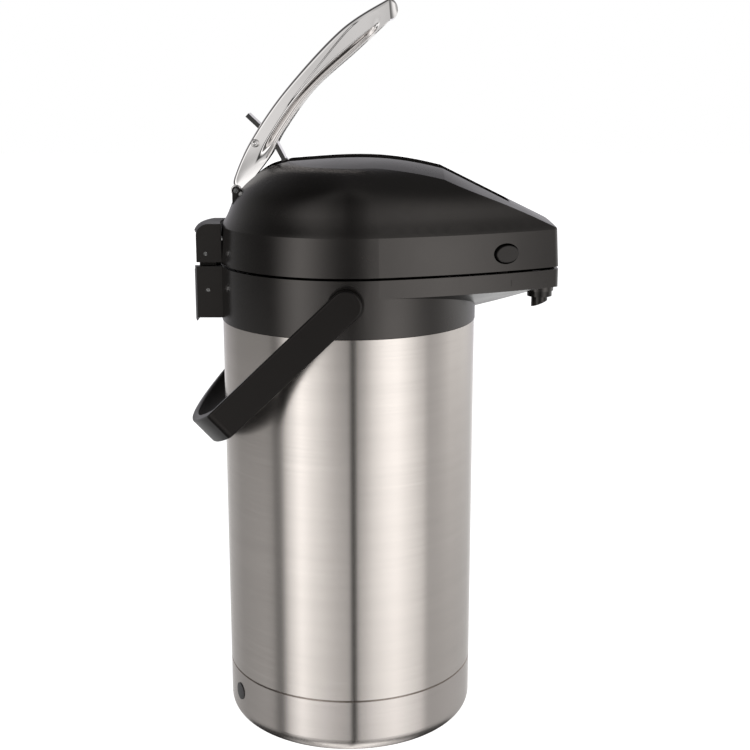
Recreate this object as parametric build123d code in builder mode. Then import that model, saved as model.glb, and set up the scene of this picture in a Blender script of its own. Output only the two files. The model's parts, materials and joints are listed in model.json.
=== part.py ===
"""Three-litre lever airpot: a vacuum jug with a hinged pump lid, a pouring beak and a carry handle.

Frame: origin at the centre of the base on the table, +Z up, +X towards the spout. Millimetres.
"""

from build123d import *
import os
from math import cos, radians, sin, sqrt, tan

# ---- driving dimensions ------------------------------------------------------------------
BODY_R = 82.5               # steel body
SHEET = 0.8                 # steel wall of the vessel
BASE_BAND_TOP = 38.0        # seam between the base cup and the body
BASE_BEND_R = 10.5          # bottom corner of the base cup
COLLAR_R = 83.0
COLLAR_INNER_R = 79.3
COLLAR_LOW = 274.8
COLLAR_TOP = 310.2
LID_LOW = 311.8             # the dark groove between collar and lid is LID_LOW - COLLAR_TOP
LID_CREASE = 335.3          # top of the lid's upright band
PLASTIC = 2.4               # wall of the moulded covers

BEAK_TIP_X = 133.2
BEAK_SIDE_LOW = 299.0       # lower edge of the beak's side wall
BEAK_SIDE_R = 383.0         # radius of the beak's long side, seen from above
BEAK_SIDE_START = 76.2      # where that side leaves the round collar, degrees from +X
BEAK_CORNER_R = 5.5

RIDGE_BREAK_X = 60.0        # the lid's top turns down towards the beak here
RIDGE_BREAK_Z = 372.9
BEAK_SLOPE = 26.9           # degrees

LINER_R = 68.0              # inside of the vacuum bottle
LINER_FLOOR = 32.0
LINER_LOW_SEAM = 46.0       # the liner's floor, wall and neck are welded here
LINER_HIGH_SEAM = 246.0
NECK_R = 32.9               # inside of the bottle's neck
MOUTH_Z = 290.0
DECK_Z = 284.0              # underside of the collar's inner deck
DECK_THICK = 2.5

PAN_R = 60.0                # pump pan under the lid
PAN_LOW = 302.0
PAN_WALL = 2.2
PUMP_X = -5.0               # centre of the bellows
BELLOWS_R = 42.0
PLUNGER_LOW = 346.6
POST_X = -40.0              # the plunger's post, pushed by the lever's tab
POST_TOP = 372.4
PUSH_BOSS_X = -16.0         # air passage from the pump into the jug
PUSH_BOSS_Z = 298.0         # its lower end

LEVER_PIVOT = (-71.0, 358.0)    # X, Z
LEVER_HALF = 15.0
LEVER_SHEET = 1.6
CHANNEL_HALF = 17.5
CHANNEL_END_X = 103.0
TAB_PIVOT = (-58.5, 387.5)
TAB_HALF = 7.5
TAB_SHEET = 2.8
TAB_NOSE = (-40.5, 375.4)
TAB_NOSE_R = 2.5

HINGE_PIN = (-91.3, 318.0)
HINGE_LOWER_PIN = (-90.2, 294.5)
HINGE_PIN_R = 1.25
HINGE_HALF = 18.0
HINGE_CHEEK_HALF = 12.2     # the cheeks start here
HINGE_SIDE_X = -97.2        # rear edge of the hinge blocks' sides
HINGE_REAR_X = -100.4       # rearmost point of the blocks, on the centre plane
HINGE_LOW = 276.4
HINGE_UPPER_LOW = 312.4     # the upper block just clears the lower one as it turns
HINGE_BOW_LOW = 331.6       # the upper block's bow ends here
HINGE_TOP = 337.0

HANDLE_Z = 296.0            # the carry handle's pivots, at X = 0
HANDLE_REST = 43.6          # how far the handle hangs below level, degrees
HANDLE_HALF_WIDTH = 9.7
HANDLE_THICK = 5.0
HANDLE_OUT = 91.6           # outer face of the handle's arms
HANDLE_CORNER = 107.0       # pivot to the corner, along the arm
HANDLE_REACH = 134.0        # pivot to the outer face of the grip's middle
HANDLE_EDGE_R = 1.2
HANDLE_PIN_R = 4.0

NOZZLE_X = 125.5
PIPE_R = 3.8
PIPE_START = (28.0, 296.4)  # X, Z of the spout pipe's inner end
PIPE_END = (122.0, 299.0)
RISER_X = 15.0
RISER_R = 5.0

BUTTON_X = 98.4
BUTTON_Z = 322.5
BUTTON_SIZE = (15.8, 10.8)
BUTTON_GAP = 1.0            # dark ring round the button
BUTTON_PROUD = 1.6          # how far the button stands out of the wall
RUNNING_GAP = 0.05          # radial clearance of every hinge pin

os.makedirs("parts", exist_ok=True)


def save(builder, name):
    """Label a finished piece and write it to its own file."""
    builder.part.label = name
    export_step(builder.part, f"parts/{name}.step")


# ---- shared outlines -----------------------------------------------------------------------
def beak_half_width(x, inset=0.0):
    """Half width of the drop-shaped plan at x, on its long side, moved inwards by inset."""
    start = radians(BEAK_SIDE_START)
    centre_x = (COLLAR_R - BEAK_SIDE_R) * cos(start)
    centre_y = (COLLAR_R - BEAK_SIDE_R) * sin(start)
    return centre_y + sqrt((BEAK_SIDE_R - inset) ** 2 - (x - centre_x) ** 2)


def plan_face(z, inset=0.0):
    """Face of the plan shared by collar and lid: a round rear and a tapering beak."""
    start = radians(BEAK_SIDE_START)
    radius = COLLAR_R - inset
    side_x, side_y = radius * cos(start), radius * sin(start)
    tip_x = BEAK_TIP_X - inset
    tip_y = beak_half_width(tip_x, inset)
    mid_x = (side_x + tip_x) / 2
    mid_y = beak_half_width(mid_x, inset)
    with BuildSketch(Plane.XY.offset(z)) as plan:
        with BuildLine():
            ThreePointArc((side_x, side_y), (-radius, 0), (side_x, -side_y))
            ThreePointArc((side_x, -side_y), (mid_x, -mid_y), (tip_x, -tip_y))
            Line((tip_x, -tip_y), (tip_x, tip_y))
            ThreePointArc((tip_x, tip_y), (mid_x, mid_y), (side_x, side_y))
        make_face()
        tip_corners = plan.vertices().group_by(Axis.X)[-1]
        fillet(tip_corners, min(BEAK_CORNER_R, 0.6 * tip_y))
    return plan.sketch.face()


def turned_sheet(points, thickness, side):
    """Sheet of one thickness turned about Z. One of its faces follows points, given as (R, Z)."""
    with BuildPart() as turned:
        with BuildSketch(Plane.XZ):
            with BuildLine():
                Polyline(*points)
                offset(amount=thickness, side=side)
            make_face()
        revolve(axis=Axis.Z)
    return turned.part


def turned(*points):
    """Solid of revolution about Z whose closed section has the corners points, as (R, Z)."""
    with BuildPart() as solid:
        with BuildSketch(Plane.XZ):
            with BuildLine():
                Polyline(*points, close=True)
            make_face()
        revolve(axis=Axis.Z)
    return solid.part


def beak_keel(x):
    """Height of the keel line under the beak."""
    return 281.1 + 0.235 * (x - BODY_R) + 0.0008 * (x - BODY_R) ** 2


def beak_hull(inset, top):
    """The beak's lower half as a solid, moved inwards by inset, V-shaped underneath."""
    sections = []
    for x in (18, 36, 56, 70, 84, 102, 120, BEAK_TIP_X + 2):
        side = beak_half_width(x) - inset
        side_low = BEAK_SIDE_LOW + inset
        keel = beak_keel(x) + 1.05 * inset      # the wall is measured square to the V
        # the section runs on past the side, where the plan cuts it off
        wide = side + 6
        wide_low = side_low + (side_low - keel) * (wide - side) / side
        with BuildSketch(Plane.YZ.offset(x)) as section:
            with BuildLine():
                Polyline((-wide, wide_low), (0, keel), (wide, wide_low), (wide, top + 5),
                         (-wide, top + 5), close=True)
            make_face()
        sections.append(section.sketch.face())
    with BuildPart() as hull:
        loft(sections=sections)
        extrude(plan_face(COLLAR_LOW, inset), amount=top - COLLAR_LOW, mode=Mode.INTERSECT)
    return hull.part


def dome_form(inset):
    """The lid's outer form moved inwards by inset: upright band, domed sides and crowned top."""
    dome_sides = [(LID_CREASE, 1.2), (341, 4.4), (348, 7.4), (354.5, 10.2),
                  (361, 15.0), (367, 21.5), (373, 30.5), (379, 43.0)]     # height, inset
    ridge = [(-95, 367.0, 2.8), (-45, 376.6, 2.7), (-5, 379.3, 2.2), (25, 379.0, 2.7),
             (45, 376.2, 2.85), (RIDGE_BREAK_X, RIDGE_BREAK_Z, 3.0)]      # X, height, crown
    slope = [(RIDGE_BREAK_X, 3.0), (82, 1.8), (95, 1.25), (111, 0.8), (140, 0.3)]  # X, crown

    def top_section(x, height, crown):
        """Section of the top at x. crown is its fall in mm, a thousandth of y squared."""
        half = 95
        edge = height - crown * half ** 2 / 1000
        with BuildSketch(Plane.YZ.offset(x)) as section:
            with BuildLine():
                ThreePointArc((-half, edge), (0, height), (half, edge))
                Polyline((half, edge), (half, COLLAR_LOW), (-half, COLLAR_LOW), (-half, edge))
            make_face()
        return section.sketch.face()

    low = LID_LOW if inset == 0 else COLLAR_TOP
    rear_top = [top_section(x, z - inset, crown) for x, z, crown in ridge]
    fall = tan(radians(BEAK_SLOPE))
    front_top = [top_section(x, RIDGE_BREAK_Z - inset - (x - RIDGE_BREAK_X) * fall, crown)
                 for x, crown in slope]
    with BuildPart() as top:
        loft(sections=rear_top)
        loft(sections=front_top)
    with BuildPart() as form:
        loft(sections=[plan_face(low, inset), plan_face(LID_CREASE, inset + dome_sides[0][1])])
        loft(sections=[plan_face(z, inset + extra) for z, extra in dome_sides])
        add(top.part, mode=Mode.INTERSECT)
    return form.part


# ---- vacuum jug ----------------------------------------------------------------------------
SHOULDER_R = 79.0
SHOULDER_LOW = COLLAR_LOW - 0.1

with BuildPart() as outer_shell:
    cup_r = BODY_R - SHEET - 0.1    # the foot end is stepped in, so that the base cup is flush
    add(turned_sheet([(cup_r, 14), (cup_r, BASE_BAND_TOP), (BODY_R, BASE_BAND_TOP + 0.9),
                      (BODY_R, SHOULDER_LOW - 0.4), (BODY_R - 0.4, SHOULDER_LOW),
                      (SHOULDER_R - SHEET, SHOULDER_LOW)], SHEET, Side.LEFT))
save(outer_shell, "outer_shell")

with BuildPart() as outer_shoulder:
    add(turned_sheet([(SHOULDER_R, SHOULDER_LOW), (SHOULDER_R, 279.5), (75.5, 283.2),
                      (NECK_R + 2 * SHEET, 283.2), (NECK_R + 2 * SHEET, MOUTH_Z)],
                     SHEET, Side.LEFT))
save(outer_shoulder, "outer_shoulder")

with BuildPart() as liner_floor:
    with BuildSketch(Plane.XZ):
        with BuildLine():
            Line((0, LINER_FLOOR), (50, LINER_FLOOR))
            FilletPolyline((50, LINER_FLOOR), (LINER_R, LINER_FLOOR + 10),
                           (LINER_R, LINER_LOW_SEAM), radius=6)
            offset(amount=SHEET, side=Side.RIGHT)
        make_face()
    revolve(axis=Axis.Z)
save(liner_floor, "liner_floor")

with BuildPart() as inner_liner:
    add(turned((LINER_R, LINER_LOW_SEAM), (LINER_R + SHEET, LINER_LOW_SEAM),
               (LINER_R + SHEET, LINER_HIGH_SEAM), (LINER_R, LINER_HIGH_SEAM)))
save(inner_liner, "inner_liner")

with BuildPart() as liner_neck:
    with BuildSketch(Plane.XZ):
        with BuildLine():
            FilletPolyline((LINER_R, LINER_HIGH_SEAM), (LINER_R, 252), (58, 266), (NECK_R, 272),
                           (NECK_R, MOUTH_Z), radius=6)
            offset(amount=SHEET, side=Side.RIGHT)
        make_face()
    revolve(axis=Axis.Z)
save(liner_neck, "liner_neck")

SEAL_R = 3.0                # the evacuation hole in the vessel's bottom
with BuildPart() as vessel_bottom:
    add(turned_sheet([(cup_r - SHEET, 14), (cup_r - SHEET, 22), (9, 22), (9, 18), (SEAL_R, 18)],
                     SHEET, Side.LEFT))
save(vessel_bottom, "vessel_bottom")

with BuildPart() as vacuum_seal_cap:
    add(turned((0, 15.9), (7, 15.9), (7, 17.2), (SEAL_R, 17.2), (SEAL_R, 18.8), (0, 18.8)))
save(vacuum_seal_cap, "vacuum_seal_cap")

PAD_R = 59.5
STEEL_LOW = 0.8     # the steel stands clear of the table, on the pad
with BuildPart() as base_cup:
    bend_x, bend_z = BODY_R - BASE_BEND_R, STEEL_LOW + BASE_BEND_R
    diagonal = BASE_BEND_R * sin(radians(45))
    with BuildSketch(Plane.XZ):
        with BuildLine():
            Polyline((0, 2.6), (PAD_R + 0.3, 2.6), (PAD_R + 2, STEEL_LOW), (bend_x, STEEL_LOW))
            ThreePointArc((bend_x, STEEL_LOW), (bend_x + diagonal, bend_z - diagonal),
                          (BODY_R, bend_z))
            Line((BODY_R, bend_z), (BODY_R, BASE_BAND_TOP - 0.4))
            offset(amount=SHEET, side=Side.LEFT)
        make_face()
    revolve(axis=Axis.Z)
save(base_cup, "base_cup")

with BuildPart() as base_pad:
    Cylinder(PAD_R, 2.6, align=(Align.CENTER, Align.CENTER, Align.MIN))
    fillet(base_pad.edges().group_by(Axis.Z)[0], 0.8)
save(base_pad, "base_pad")

with BuildPart() as round_badge:
    badge_angle, badge_z, badge_r = 207.5, 24.0, 5.7
    with BuildSketch(Plane.XY.offset(badge_z - 8)):
        Circle(BODY_R + 0.5)
        Circle(BODY_R, mode=Mode.SUBTRACT)
    extrude(amount=16)
    outwards = Vector(cos(radians(badge_angle)), sin(radians(badge_angle)), 0)
    with BuildSketch(Plane(origin=outwards * 70 + Vector(0, 0, badge_z), z_dir=outwards)):
        Circle(badge_r)
    extrude(amount=20, mode=Mode.INTERSECT)
save(round_badge, "round_badge")

GASKET_H = 1.6
with BuildPart() as neck_gasket:
    add(turned((NECK_R, MOUTH_Z), (38, MOUTH_Z), (38, MOUTH_Z + GASKET_H),
               (NECK_R, MOUTH_Z + GASKET_H)))
save(neck_gasket, "neck_gasket")


# ---- collar with the beak's lower half -------------------------------------------------------
NOZZLE_NECK_R = 5.2
NOZZLE_PAD_Z = 291.6
SCREW_R = 1.6
SCREW_HEAD_R = 2.9
SCREW_SEAT_X = -79.6        # where the hinge screws' heads sit on the collar and the lid
HINGE_SCREW_Y = 15.1
HINGE_LOWER_SCREW_Z = 303.0
HINGE_UPPER_SCREW_Z = 327.0


CATCH_THICK = 3.4
CATCH_Z = 302.0
CATCH_HEIGHT = 4.0
catch_face_y = beak_half_width(BUTTON_X) - PLASTIC - 2.6    # the inner face of each catch


def hinge_screw_spots(z):
    """Points on the rear wall for the two screws that hold a hinge block."""
    return [(-COLLAR_R, side * HINGE_SCREW_Y, z) for side in (-1, 1)]


def along_x(points, radius, start, length, mode=Mode.ADD):
    """Cylinders along +X that begin at X = start, at the Y and Z of each point."""
    with BuildSketch(Plane.YZ.offset(start)) as discs:
        with Locations(*[(y, z) for _, y, z in points]):
            Circle(radius)
    return extrude(discs.sketch, amount=length, mode=mode)


with BuildPart() as collar:
    with BuildSketch(Plane.XY.offset(COLLAR_LOW)):
        Circle(COLLAR_R)
    extrude(amount=COLLAR_TOP - COLLAR_LOW)
    add(beak_hull(0, COLLAR_TOP))
    with Locations((NOZZLE_X, 0, NOZZLE_PAD_Z)):
        Cylinder(9.0, 5, align=(Align.CENTER, Align.CENTER, Align.MIN))
    # bearing bosses for the carry handle
    with BuildSketch(Plane.XZ.offset(-COLLAR_R - 1)):
        with Locations((0, HANDLE_Z)):
            Circle(11)
    extrude(amount=2 * (COLLAR_R + 1))
    # the round well and the trough in the beak
    with BuildSketch(Plane.XY.offset(COLLAR_LOW)):
        Circle(COLLAR_INNER_R)
    extrude(amount=COLLAR_TOP - COLLAR_LOW, mode=Mode.SUBTRACT)
    add(beak_hull(PLASTIC, COLLAR_TOP + 1), mode=Mode.SUBTRACT)
    # nozzle hole, and room for the nozzle's flange under the pad
    with Locations((NOZZLE_X, 0, NOZZLE_PAD_Z)):
        Cylinder(NOZZLE_NECK_R, 20, mode=Mode.SUBTRACT)
        Cylinder(8.5, 10, align=(Align.CENTER, Align.CENTER, Align.MAX), mode=Mode.SUBTRACT)
    # handle pivots
    with BuildSketch(Plane.XZ.offset(-COLLAR_R - 1)):
        with Locations((0, HANDLE_Z)):
            Circle(HANDLE_PIN_R)
    extrude(amount=2 * (COLLAR_R + 1), mode=Mode.SUBTRACT)
    # screws of the lower hinge block, with flat seats for their heads
    lower_spots = hinge_screw_spots(HINGE_LOWER_SCREW_Z)
    along_x(lower_spots, SCREW_R, -90, 14, Mode.SUBTRACT)
    along_x(lower_spots, SCREW_HEAD_R + 0.3, SCREW_SEAT_X, 10, Mode.SUBTRACT)
    # catches behind the beak's side walls, one for each release button's hook
    with BuildSketch(Plane.XY.offset(CATCH_Z)):
        with Locations((BUTTON_X, catch_face_y + CATCH_THICK / 2),
                       (BUTTON_X, -catch_face_y - CATCH_THICK / 2)):
            Rectangle(7, CATCH_THICK)
    extrude(amount=CATCH_HEIGHT)
save(collar, "collar")

with BuildPart() as neck_ring:
    # the deck inside the collar, with the hub that clamps the neck
    with BuildSketch(Plane.XY.offset(DECK_Z)):
        Circle(COLLAR_INNER_R)
    extrude(amount=DECK_THICK)
    with BuildSketch(Plane.XY.offset(DECK_Z)):
        Circle(NECK_R + 2 * SHEET + 4)
    extrude(amount=5)
    with Locations((0, 0, DECK_Z)):
        Cylinder(NECK_R + 2 * SHEET, 30, mode=Mode.SUBTRACT)
save(neck_ring, "neck_ring")


# ---- pouring line ----------------------------------------------------------------------------
PIPE_BORE_R = PIPE_R - 0.8
pipe_run = Vector(PIPE_END[0] - PIPE_START[0], 0, PIPE_END[1] - PIPE_START[1])
pipe_plane = Plane(origin=(PIPE_START[0], 0, PIPE_START[1]), z_dir=pipe_run)
FLANGE_Z = MOUTH_Z + GASKET_H
FLANGE_TOP = FLANGE_Z + 2.8
SPIGOT_LOW = 268.0
RISER_TOP = 281.0

with BuildPart() as stem_cap:
    add(turned((0, 284), (NECK_R - 0.4, 284), (NECK_R - 0.4, FLANGE_Z), (37.5, FLANGE_Z),
               (37.5, FLANGE_TOP), (0, FLANGE_TOP)))
    with Locations((RISER_X, 0, SPIGOT_LOW)):
        Cylinder(RISER_R + 1.5, 20, align=(Align.CENTER, Align.CENTER, Align.MIN))
        Cylinder(RISER_R - 0.4, PIPE_START[1] - SPIGOT_LOW + 2.6,
                 align=(Align.CENTER, Align.CENTER, Align.MIN))
    with BuildSketch(pipe_plane.offset(-13)):
        Circle(PIPE_R + 0.8)
    extrude(amount=20)
    # bores: the liquid's way up and out, and the air's way in
    with Locations((RISER_X, 0, SPIGOT_LOW)):
        Cylinder(RISER_R, RISER_TOP - SPIGOT_LOW,
                 align=(Align.CENTER, Align.CENTER, Align.MIN), mode=Mode.SUBTRACT)
        Cylinder(PIPE_BORE_R, PIPE_START[1] - SPIGOT_LOW,
                 align=(Align.CENTER, Align.CENTER, Align.MIN), mode=Mode.SUBTRACT)
    with BuildSketch(pipe_plane.offset(-13)):
        Circle(PIPE_BORE_R)
    extrude(amount=20, mode=Mode.SUBTRACT)
    with BuildSketch(pipe_plane):
        Circle(PIPE_R)
    extrude(amount=20, mode=Mode.SUBTRACT)
    with Locations((PUSH_BOSS_X, 0, MOUTH_Z)):
        Cylinder(4.5, 30, mode=Mode.SUBTRACT)
save(stem_cap, "stem_cap")

STRAINER_LOW = 35.0
with BuildPart() as riser_tube:
    with BuildSketch(Plane.XY.offset(STRAINER_LOW + 5)):
        with Locations((RISER_X, 0)):
            Circle(RISER_R)
            Circle(RISER_R - 1, mode=Mode.SUBTRACT)
    extrude(amount=RISER_TOP - STRAINER_LOW - 5)
save(riser_tube, "riser_tube")

with BuildPart() as strainer_foot:
    with Locations((RISER_X, 0, STRAINER_LOW)):
        Cylinder(RISER_R + 2.5, 13, align=(Align.CENTER, Align.CENTER, Align.MIN))
    with Locations((RISER_X, 0, STRAINER_LOW + 2)):
        Cylinder(RISER_R, 20, align=(Align.CENTER, Align.CENTER, Align.MIN), mode=Mode.SUBTRACT)
    with Locations((RISER_X, 0, STRAINER_LOW + 3)):
        Box(30, 1.6, 3.0, mode=Mode.SUBTRACT)
        Box(1.6, 30, 3.0, mode=Mode.SUBTRACT)
save(strainer_foot, "strainer_foot")

with BuildPart() as spout_pipe:
    with BuildSketch(pipe_plane):
        Circle(PIPE_R)
        Circle(PIPE_BORE_R, mode=Mode.SUBTRACT)
    extrude(amount=pipe_run.length)
save(spout_pipe, "spout_pipe")

with BuildPart() as nozzle_upright:
    with BuildSketch(Plane.XZ):
        with BuildLine():
            Polyline((0, 280.8), (5.3, 280.8), (5.3, 287.4), (8.1, 287.9), (8.1, NOZZLE_PAD_Z),
                     (NOZZLE_NECK_R, NOZZLE_PAD_Z), (NOZZLE_NECK_R, 304), (0, 304), close=True)
        make_face()
    revolve(axis=Axis.Z)
    with Locations((0, 0, 280)):
        Cylinder(3.5, 280, mode=Mode.SUBTRACT)

with BuildPart() as spout_nozzle:
    add(nozzle_upright.part.moved(Location((NOZZLE_X, 0, 0))))
    with BuildSketch(pipe_plane):
        Circle(PIPE_R)
    extrude(amount=pipe_run.length, mode=Mode.SUBTRACT)
    # the mouth is cut on the slant, longer at the rear
    with BuildSketch(Plane.XZ.offset(-10)):
        with BuildLine():
            Polyline((NOZZLE_X - 6, 280.6), (NOZZLE_X + 6, 285.4), (NOZZLE_X + 6, 270),
                     (NOZZLE_X - 6, 270), close=True)
        make_face()
    extrude(amount=20, mode=Mode.SUBTRACT)
save(spout_nozzle, "spout_nozzle")

with BuildPart() as pipe_seal:
    with BuildSketch(pipe_plane.offset(pipe_run.length - 5)):
        Circle(PIPE_R + 1.4)
        Circle(PIPE_R, mode=Mode.SUBTRACT)
    extrude(amount=1.4)
save(pipe_seal, "pipe_seal")

# ---- rear hinge --------------------------------------------------------------------------------
KNUCKLE_HALF = 11.3
REAR_WALL = 2.4


def hinge_block(low, high):
    """Block between two heights, hollowed against the round collar, with a bowed rear."""
    with BuildPart() as block:
        with BuildSketch(Plane.XY.offset(low)):
            with BuildLine():
                Polyline((HINGE_SIDE_X, HINGE_HALF), (-75, HINGE_HALF), (-75, -HINGE_HALF),
                         (HINGE_SIDE_X, -HINGE_HALF))
                ThreePointArc((HINGE_SIDE_X, -HINGE_HALF), (HINGE_REAR_X, 0),
                              (HINGE_SIDE_X, HINGE_HALF))
            make_face()
            Circle(COLLAR_R, mode=Mode.SUBTRACT)
        extrude(amount=high - low)
    return block.part


def across(point, radius, half, mode=Mode.ADD):
    """Cylinder along Y, centred on the XZ point and reaching half to each side."""
    with BuildSketch(Plane.XZ.offset(-half)) as disc:
        with Locations(point):
            Circle(radius)
    return extrude(disc.sketch, amount=2 * half, mode=mode)


def slab(points, half, mode=Mode.ADD):
    """Plate square to Y whose outline has the XZ points, reaching half to each side."""
    with BuildSketch(Plane.XZ.offset(-half)) as outline:
        with BuildLine():
            Polyline(*points, close=True)
        make_face()
    return extrude(outline.sketch, amount=2 * half, mode=mode)


with BuildPart() as hinge_lip:
    # hangs from the foot of the lower block's rear wall
    add(hinge_block(HINGE_LOW - 2.4, HINGE_LOW))
    slab([(HINGE_SIDE_X - 0.5, 270), (-70, 270), (-70, 290), (HINGE_SIDE_X - 0.5, 290)],
         HINGE_HALF + 1, Mode.SUBTRACT)

with BuildPart() as hinge_lower_block:
    add(hinge_block(HINGE_LOW, COLLAR_TOP - 0.4))
    add(hinge_lip.part)
    # room for the knuckle, and for the lid's rear cover as it swings down
    slab([(-96.9, 287), (-70, 287), (-70, 320), (-96.9, 320)], KNUCKLE_HALF + 0.2, Mode.SUBTRACT)
    slab([(-105, 306.4), (-70, 306.4), (-70, 320), (-105, 320)], HINGE_CHEEK_HALF,
         Mode.SUBTRACT)
    across(HINGE_LOWER_PIN, HINGE_PIN_R, HINGE_HALF, Mode.SUBTRACT)
    along_x(lower_spots, SCREW_R, -92, 14, Mode.SUBTRACT)
save(hinge_lower_block, "hinge_lower_block")

with BuildPart() as hinge_knuckle:
    slab([(-96.0, 287.2), (-85.4, 287.2), (-85.4, HINGE_PIN[1]), (-96.0, HINGE_PIN[1])],
         KNUCKLE_HALF)
    across(HINGE_PIN, 6.2, KNUCKLE_HALF)
    across(HINGE_PIN, HINGE_PIN_R + RUNNING_GAP, HINGE_HALF, Mode.SUBTRACT)
    across(HINGE_LOWER_PIN, HINGE_PIN_R, HINGE_HALF, Mode.SUBTRACT)
save(hinge_knuckle, "hinge_knuckle")

with BuildPart() as hinge_lower_pin:
    across(HINGE_LOWER_PIN, HINGE_PIN_R, HINGE_HALF + 0.2)
save(hinge_lower_pin, "hinge_lower_pin")

with BuildPart() as hinge_upper_pin:
    across(HINGE_PIN, HINGE_PIN_R, HINGE_HALF + 0.2)
save(hinge_upper_pin, "hinge_upper_pin")

with BuildPart() as hinge_lower_screws:
    along_x(lower_spots, SCREW_R, -92, 92 + SCREW_SEAT_X)
    along_x(lower_spots, SCREW_HEAD_R, SCREW_SEAT_X, 1.8)
save(hinge_lower_screws, "hinge_lower_screws")

upper_spots = hinge_screw_spots(HINGE_UPPER_SCREW_Z)
with BuildPart() as hinge_upper_block:
    add(hinge_block(HINGE_UPPER_LOW, HINGE_TOP))
    # arched top towards the rear
    rear_arch = hinge_upper_block.edges().group_by(Axis.Z)[-1].filter_by(GeomType.CIRCLE)
    fillet(rear_arch.sort_by(Axis.X)[0], 8)
    # the bow stops above the pin, so that it clears the lower block when the lid swings back
    slab([(-110, 300), (HINGE_SIDE_X, 300), (HINGE_SIDE_X, HINGE_BOW_LOW), (-110, HINGE_BOW_LOW)],
         HINGE_HALF + 1, Mode.SUBTRACT)
    # room for the knuckle between the cheeks
    slab([(-99.2, 300), (-70, 300), (-70, 326), (-78, 326), (-99.2, 333)],
         HINGE_CHEEK_HALF, Mode.SUBTRACT)
    across(HINGE_PIN, HINGE_PIN_R, HINGE_HALF, Mode.SUBTRACT)
    along_x(upper_spots, SCREW_R, -92, 14, Mode.SUBTRACT)
save(hinge_upper_block, "hinge_upper_block")

with BuildPart() as hinge_upper_screws:
    along_x(upper_spots, SCREW_R, -92, 92 + SCREW_SEAT_X)
    along_x(upper_spots, SCREW_HEAD_R, SCREW_SEAT_X, 1.8)
save(hinge_upper_screws, "hinge_upper_screws")

# ---- carry handle ---------------------------------------------------------------------------
rest = radians(HANDLE_REST)
bail_plane = Plane(origin=(0, 0, HANDLE_Z), x_dir=(-cos(rest), 0, -sin(rest)),
                   z_dir=(sin(rest), 0, -cos(rest)))
inner_y = HANDLE_OUT - HANDLE_THICK

with BuildPart() as carry_handle:
    # seen square to the arms: x runs from the pivots to the grip, y across the jug
    with BuildSketch(bail_plane):
        with BuildLine():
            Line((0, HANDLE_OUT), (HANDLE_CORNER - 1, HANDLE_OUT))
            ThreePointArc((HANDLE_CORNER - 1, HANDLE_OUT), (HANDLE_REACH, 0),
                          (HANDLE_CORNER - 1, -HANDLE_OUT))
            Polyline((HANDLE_CORNER - 1, -HANDLE_OUT), (0, -HANDLE_OUT), (0, -inner_y),
                     (HANDLE_CORNER - 6, -inner_y))
            ThreePointArc((HANDLE_CORNER - 6, -inner_y), (HANDLE_REACH - HANDLE_THICK, 0),
                          (HANDLE_CORNER - 6, inner_y))
            Polyline((HANDLE_CORNER - 6, inner_y), (0, inner_y), (0, HANDLE_OUT))
        make_face()
    extrude(amount=HANDLE_HALF_WIDTH, both=True)
    corners = carry_handle.edges().filter_by(
        lambda edge: abs(edge.length - 2 * HANDLE_HALF_WIDTH) < 0.01
        and (edge.center() - bail_plane.origin).length > HANDLE_CORNER)
    fillet(corners.group_by(Axis.X)[0], 5)
    across((0, HANDLE_Z), HANDLE_HALF_WIDTH, HANDLE_OUT)
    across((0, HANDLE_Z), 2 * HANDLE_HALF_WIDTH, inner_y, Mode.SUBTRACT)
    # soft edges: every long edge, leaving out the short straight ones across the band
    rims = carry_handle.edges().filter_by(
        lambda edge: edge.geom_type != GeomType.LINE or edge.length > 20)
    fillet(rims, HANDLE_EDGE_R)
    # bearing bosses on the inner faces, with blind bores
    across((0, HANDLE_Z), 7, inner_y)
    across((0, HANDLE_Z), 8, COLLAR_R + 1.4, Mode.SUBTRACT)
    across((0, HANDLE_Z), HANDLE_PIN_R + RUNNING_GAP, HANDLE_OUT - 1.8, Mode.SUBTRACT)
save(carry_handle, "carry_handle")

with BuildPart() as handle_pivot_pins:
    across((0, HANDLE_Z), HANDLE_PIN_R, HANDLE_OUT - 2)
    across((0, HANDLE_Z), 6.5, COLLAR_R - 4)
    across((0, HANDLE_Z), 8, COLLAR_R - 6.4, Mode.SUBTRACT)
save(handle_pivot_pins, "handle_pivot_pins")

# ---- pump lid ---------------------------------------------------------------------------------
LID_PLATE = 2.2
BUTTON_SHANK_R = 5.0
BUTTON_SHANK_END = 10.5     # these are measured inwards from the beak's side wall
BUTTON_SPRING_START = 10.2
BUTTON_SPRING_END = 18.8
BUTTON_SPRING_R = 3.6
BUTTON_CUP_START = 6.9      # the spring sits in a cup in the shank, with room for the travel
BRACKET_Z = 349.0           # floor of the lever channel under the bracket
POCKET_Z = 354.0            # floor under the tab
CHANNEL_Z = 361.5           # floor further forward
channel_line = [(-95, BRACKET_Z), (-62, BRACKET_Z), (-60, POCKET_Z), (-28, POCKET_Z), (-25, CHANNEL_Z),
                (50, CHANNEL_Z), (CHANNEL_END_X, 345)]
LID_SCREWS = [(-48, 46), (-48, -46), (62, 42), (62, -42)]


def button_plane(side):
    """Plane on the beak's side wall at a release button. Its normal points outwards."""
    start = radians(BEAK_SIDE_START)
    centre = Vector((COLLAR_R - BEAK_SIDE_R) * cos(start),
                    (COLLAR_R - BEAK_SIDE_R) * sin(start) * side, 0)
    on_wall = Vector(BUTTON_X, beak_half_width(BUTTON_X) * side, 0)
    outwards = (on_wall - centre).normalized()
    return Plane(origin=on_wall + Vector(0, 0, BUTTON_Z), x_dir=Vector(0, 0, 1).cross(outwards),
                 z_dir=outwards)


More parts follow.
